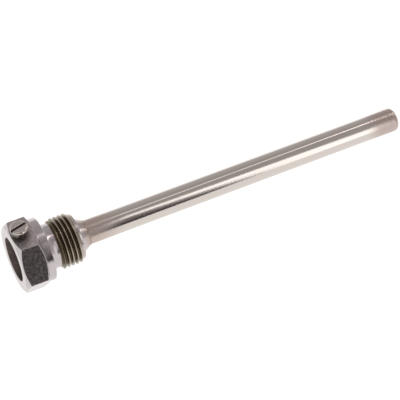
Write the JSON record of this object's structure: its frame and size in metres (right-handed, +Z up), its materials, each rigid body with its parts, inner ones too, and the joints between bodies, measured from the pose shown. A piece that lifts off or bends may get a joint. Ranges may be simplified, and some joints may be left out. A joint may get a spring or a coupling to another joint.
{
  "type": "thermowell",
  "caption": "Hexagon-headed thermowell with a pipe thread, a round welded stem closed at the tip and a screw that clamps the thermometer's neck.",
  "frame": {"origin": "centre of the sealing face, on the axis of the probe's bore", "axes": "+X along the axis from the head to the closed tip, +Z up through the clamp screw, square to its flat of the hexagon"},
  "size_m": [0.173, 0.0312, 0.0318],
  "materials": {
    "turned_steel": "turned and milled stainless steel, bare",
    "drawn_tube": "drawn and ground stainless tube, satin",
    "weld_metal": "stainless weld, lightly straw tinted",
    "screw_steel": "bright stainless screw"
  },
  "bodies": {
    "well": {"threaded_head": "turned_steel", "stem_tube": "drawn_tube", "root_weld": "weld_metal", "end_cap": "turned_steel", "cap_weld": "weld_metal"},
    "clamp_screw": {"clamp_screw": "screw_steel"}
  },
  "joints": [
    {"name": "clamp_screw_travel", "type": "slide", "parent": "well", "child": "clamp_screw", "axis": [0, 0, 1], "range_m": [-0.0021, 0.0025]}
  ]
}
